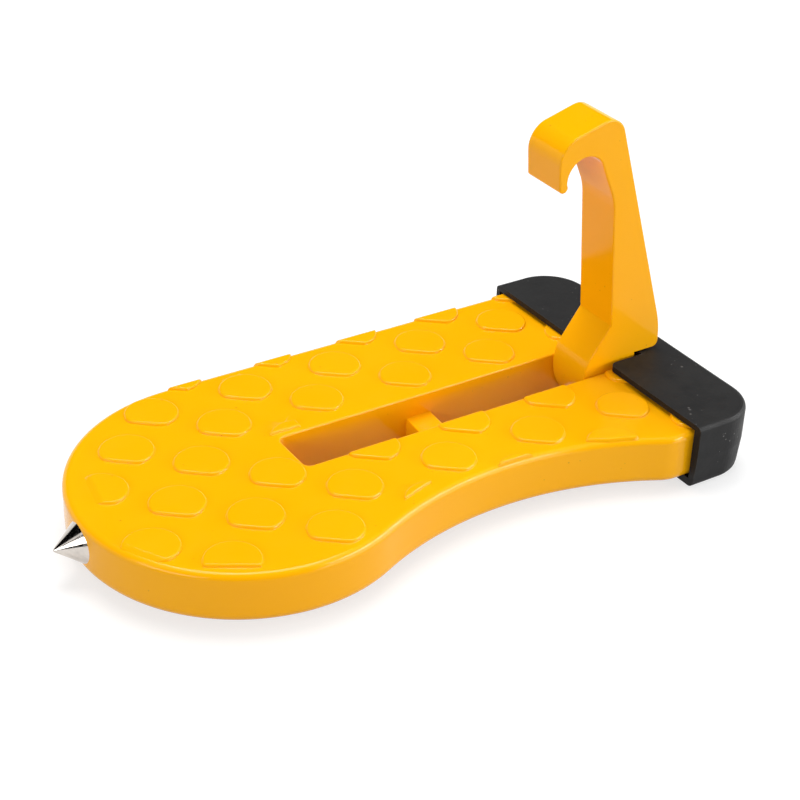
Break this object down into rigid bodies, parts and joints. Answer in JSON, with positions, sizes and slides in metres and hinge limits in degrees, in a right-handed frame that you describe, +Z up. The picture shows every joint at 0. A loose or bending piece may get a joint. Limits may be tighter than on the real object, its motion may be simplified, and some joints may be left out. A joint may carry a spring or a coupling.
{
  "type": "car door latch step",
  "caption": "Sole-shaped cast foot pedal with raised tread dots, a slot for a folding hook that hangs on a door striker, a rubber end and a steel cone tip",
  "frame": {"origin": "centre of the bounding box in X and Y, at the underside of the rubber boot", "axes": "X along the pedal from the steel tip to the rubber end, Y across it towards the straight side, Z up with the hook upright"},
  "size_m": [0.1586, 0.0798, 0.0787],
  "materials": {
    "casting": "glossy amber powder coat over cast aluminium",
    "steel": "turned and polished steel",
    "rubber": "smooth satin black rubber"
  },
  "bodies": {
    "pedal_body": {"pedal": "casting", "hinge_pin": "steel", "rubber_boot": "rubber", "hammer_tip": "steel"},
    "hook": {"hook_arm": "casting"}
  },
  "joints": [
    {"name": "hook_fold", "type": "hinge", "parent": "pedal_body", "child": "hook", "pos_m": [0.06255, 0.0005, 0.0079], "axis": [0, -1, 0], "range_deg": [0, 82.5]}
  ]
}
